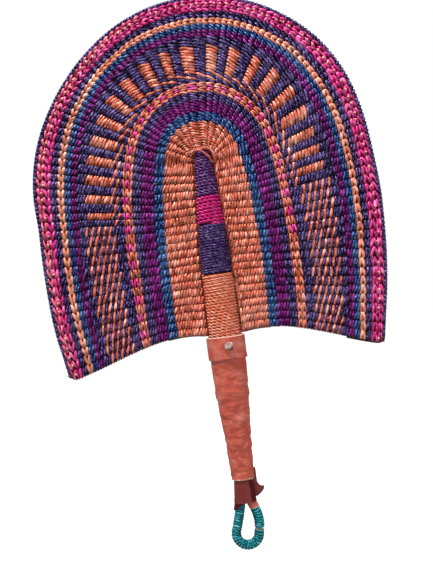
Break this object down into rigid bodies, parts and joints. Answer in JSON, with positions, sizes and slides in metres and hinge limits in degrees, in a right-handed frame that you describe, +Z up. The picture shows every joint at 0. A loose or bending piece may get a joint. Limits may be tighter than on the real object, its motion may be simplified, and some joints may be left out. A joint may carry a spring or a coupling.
{
  "type": "raffia hand fan",
  "caption": "Hand-woven straw fan with a horseshoe blade in coloured bands, a bound spine, a leather grip and a bound hanging loop.",
  "frame": {"origin": "middle of the grip, on the handle's axis, where the hand holds the fan", "axes": "+Z up along the handle to the blade's crown, +X to the right across the blade, -Y out of the blade's front"},
  "size_m": [0.312, 0.0319, 0.4997],
  "materials": {
    "stick_wood": "plain dry wood, hidden inside the grip",
    "peg_wood": "pale fibrous end of a peg, matt",
    "straw_natural": "undyed straw, matt to satin",
    "straw_orange": "straw dyed terracotta orange, satin with pale streaks",
    "straw_blue": "straw dyed blue, satin",
    "straw_purple": "straw dyed purple, satin",
    "straw_navy": "straw dyed navy, satin with pale glints",
    "straw_check": "orange and magenta straw that take turns over the stakes, satin",
    "straw_rays": "navy straw with blocks and specks of orange straw, satin",
    "straw_magenta": "straw dyed hot magenta, satin",
    "straw_pink": "straw dyed salmon pink, satin",
    "straw_teal": "straw dyed teal, shiny",
    "leather_tan": "orange-brown leather with soft wrinkles and pale cut edges, satin",
    "leather_maroon": "thin maroon leather, satin"
  },
  "bodies": {
    "root": {"core_stick": "stick_wood", "collar_peg": "peg_wood", "straw_bundle": "straw_natural", "stake_mat": "straw_natural", "binding_orange": "straw_orange", "binding_indigo": "straw_navy", "binding_magenta": "straw_magenta", "binding_purple": "straw_purple", "tip_strand": "straw_orange", "weft_orange_field": "straw_orange", "weft_blue_inner": "straw_blue", "weft_purple_inner": "straw_purple", "weft_navy_inner": "straw_navy", "weft_check": "straw_check", "weft_rays": "straw_rays", "weft_purple_outer": "straw_purple", "weft_blue_outer": "straw_blue", "weft_orange_outer": "straw_orange", "weft_navy_outer": "straw_navy", "braid_magenta": "straw_magenta", "braid_pink": "straw_pink", "rim_navy": "straw_navy", "collar": "leather_tan", "grip_sleeve": "leather_tan", "end_wrap": "leather_maroon", "wrap_tail": "leather_maroon", "loop_core": "straw_natural", "loop_binding_left": "straw_teal", "loop_binding_right": "straw_teal", "loop_tab": "leather_tan"}
  },
  "joints": []
}
